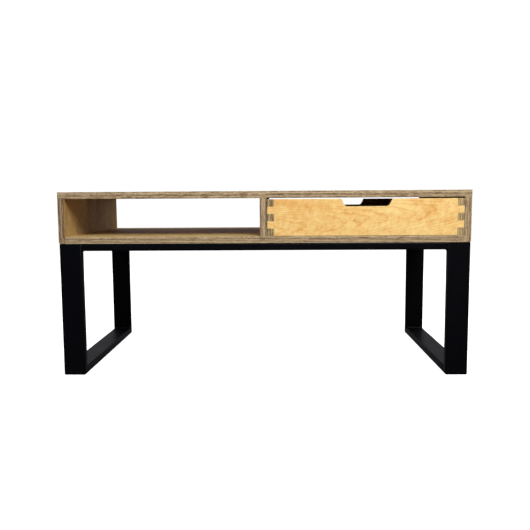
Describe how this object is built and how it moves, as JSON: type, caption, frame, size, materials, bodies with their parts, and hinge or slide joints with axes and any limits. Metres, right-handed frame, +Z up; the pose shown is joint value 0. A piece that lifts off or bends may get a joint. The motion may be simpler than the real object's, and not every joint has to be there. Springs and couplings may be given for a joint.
{
  "type": "side table with drawer",
  "caption": "Low birch plywood table with an open shelf, a box-jointed drawer that pulls from both sides, and closed black steel loop legs.",
  "frame": {"origin": "on the floor, at the middle of the table's outline", "axes": "+X to the right along the table's length, +Y from the front to the back, +Z up; the drawer is on the +X side"},
  "size_m": [1.1, 0.55, 0.498],
  "materials": {
    "box_plywood": "matt oiled birch plywood, bare layered edges",
    "drawer_plywood": "satin birch plywood, bare layered finger ends",
    "thin_plywood": "matt birch plywood",
    "beech_dowel": "raw beech",
    "black_steel": "satin black powder coat",
    "zinc_screw": "zinc plated"
  },
  "bodies": {
    "table": {"top_panel": "box_plywood", "bottom_panel": "box_plywood", "left_side_panel": "box_plywood", "right_side_panel": "box_plywood", "divider_panel": "box_plywood", "left_top_dowel_1": "beech_dowel", "left_top_dowel_2": "beech_dowel", "left_top_dowel_3": "beech_dowel", "left_top_dowel_4": "beech_dowel", "right_top_dowel_1": "beech_dowel", "right_top_dowel_2": "beech_dowel", "right_top_dowel_3": "beech_dowel", "right_top_dowel_4": "beech_dowel", "left_bottom_dowel_1": "beech_dowel", "left_bottom_dowel_2": "beech_dowel", "left_bottom_dowel_3": "beech_dowel", "left_bottom_dowel_4": "beech_dowel", "right_bottom_dowel_1": "beech_dowel", "right_bottom_dowel_2": "beech_dowel", "right_bottom_dowel_3": "beech_dowel", "right_bottom_dowel_4": "beech_dowel", "divider_top_dowel_1": "beech_dowel", "divider_top_dowel_2": "beech_dowel", "divider_top_dowel_3": "beech_dowel", "divider_top_dowel_4": "beech_dowel", "divider_bottom_dowel_1": "beech_dowel", "divider_bottom_dowel_2": "beech_dowel", "divider_bottom_dowel_3": "beech_dowel", "divider_bottom_dowel_4": "beech_dowel", "left_front_leg": "black_steel", "left_rear_leg": "black_steel", "left_bottom_runner": "black_steel", "left_top_bar": "black_steel", "right_front_leg": "black_steel", "right_rear_leg": "black_steel", "right_bottom_runner": "black_steel", "right_top_bar": "black_steel", "front_rail": "black_steel", "rear_rail": "black_steel", "left_top_bar_screw_1": "zinc_screw", "left_top_bar_screw_2": "zinc_screw", "right_top_bar_screw_1": "zinc_screw", "right_top_bar_screw_2": "zinc_screw", "front_rail_screw_1": "zinc_screw", "front_rail_screw_2": "zinc_screw", "front_rail_screw_3": "zinc_screw", "rear_rail_screw_1": "zinc_screw", "rear_rail_screw_2": "zinc_screw", "rear_rail_screw_3": "zinc_screw"},
    "drawer": {"drawer_front": "drawer_plywood", "drawer_back": "drawer_plywood", "drawer_left_side": "drawer_plywood", "drawer_right_side": "drawer_plywood", "drawer_bottom": "thin_plywood"}
  },
  "joints": [
    {"name": "drawer_slide", "type": "slide", "parent": "table", "child": "drawer", "axis": [0, -1, 0], "range_m": [-0.4, 0.4]}
  ]
}
